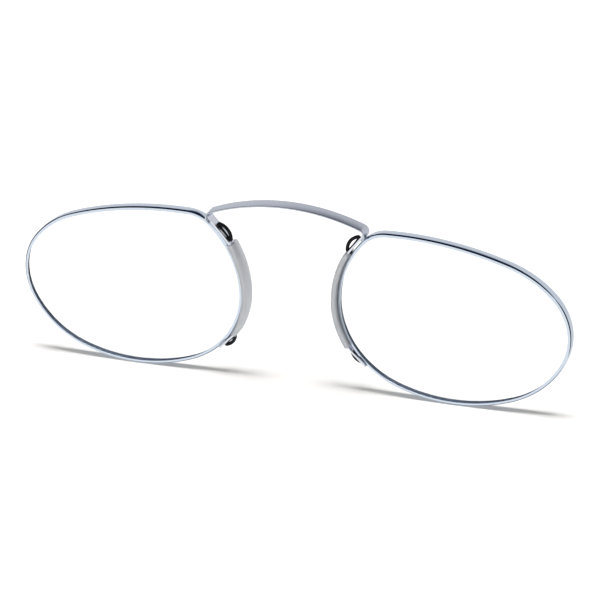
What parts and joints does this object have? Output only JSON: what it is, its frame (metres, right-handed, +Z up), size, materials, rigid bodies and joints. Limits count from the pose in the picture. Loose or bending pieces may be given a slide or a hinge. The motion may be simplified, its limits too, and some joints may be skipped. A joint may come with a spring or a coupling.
{
  "type": "pince nez",
  "caption": "Pince-nez reading glasses: oval lenses in slim steel eyewires, a sprung leaf bridge over the nose, and soft-sleeved nose strips.",
  "frame": {"origin": "on the plane the object stands on, below the middle of its box", "axes": "+X is the width across both lenses, towards the right lens as seen from the front; -Y is the front, away from the face; +Z is up"},
  "size_m": [0.1142, 0.005, 0.0381],
  "materials": {
    "polished_steel": "polished stainless steel wire",
    "satin_steel": "satin stainless spring steel",
    "clear_lens": "clear lens with a smooth coated surface",
    "clear_silicone": "soft translucent silicone",
    "black_elastomer": "glossy black elastomer",
    "silver_braze": "silver solder, dressed smooth"
  },
  "bodies": {
    "left_half": {"bridge_spring": "satin_steel", "left_rim": "polished_steel", "left_lens": "clear_lens", "left_pad_strip": "satin_steel", "left_sleeve": "clear_silicone", "left_upper_stop_loop": "black_elastomer", "left_lower_stop_loop": "black_elastomer", "left_upper_braze": "silver_braze", "left_lower_braze": "silver_braze"},
    "right_half": {"right_rim": "polished_steel", "right_lens": "clear_lens", "right_pad_strip": "satin_steel", "right_sleeve": "clear_silicone", "right_upper_stop_loop": "black_elastomer", "right_lower_stop_loop": "black_elastomer", "right_upper_braze": "silver_braze", "right_lower_braze": "silver_braze"}
  },
  "joints": [
    {"name": "bridge_flex", "type": "hinge", "parent": "left_half", "child": "right_half", "pos_m": [0, 0.0006, 0.03795], "axis": [0, 1, 0], "range_deg": [-16, 8], "stiffness_Nm_per_rad": 0.047, "deforming": ["bridge_spring"]}
  ]
}
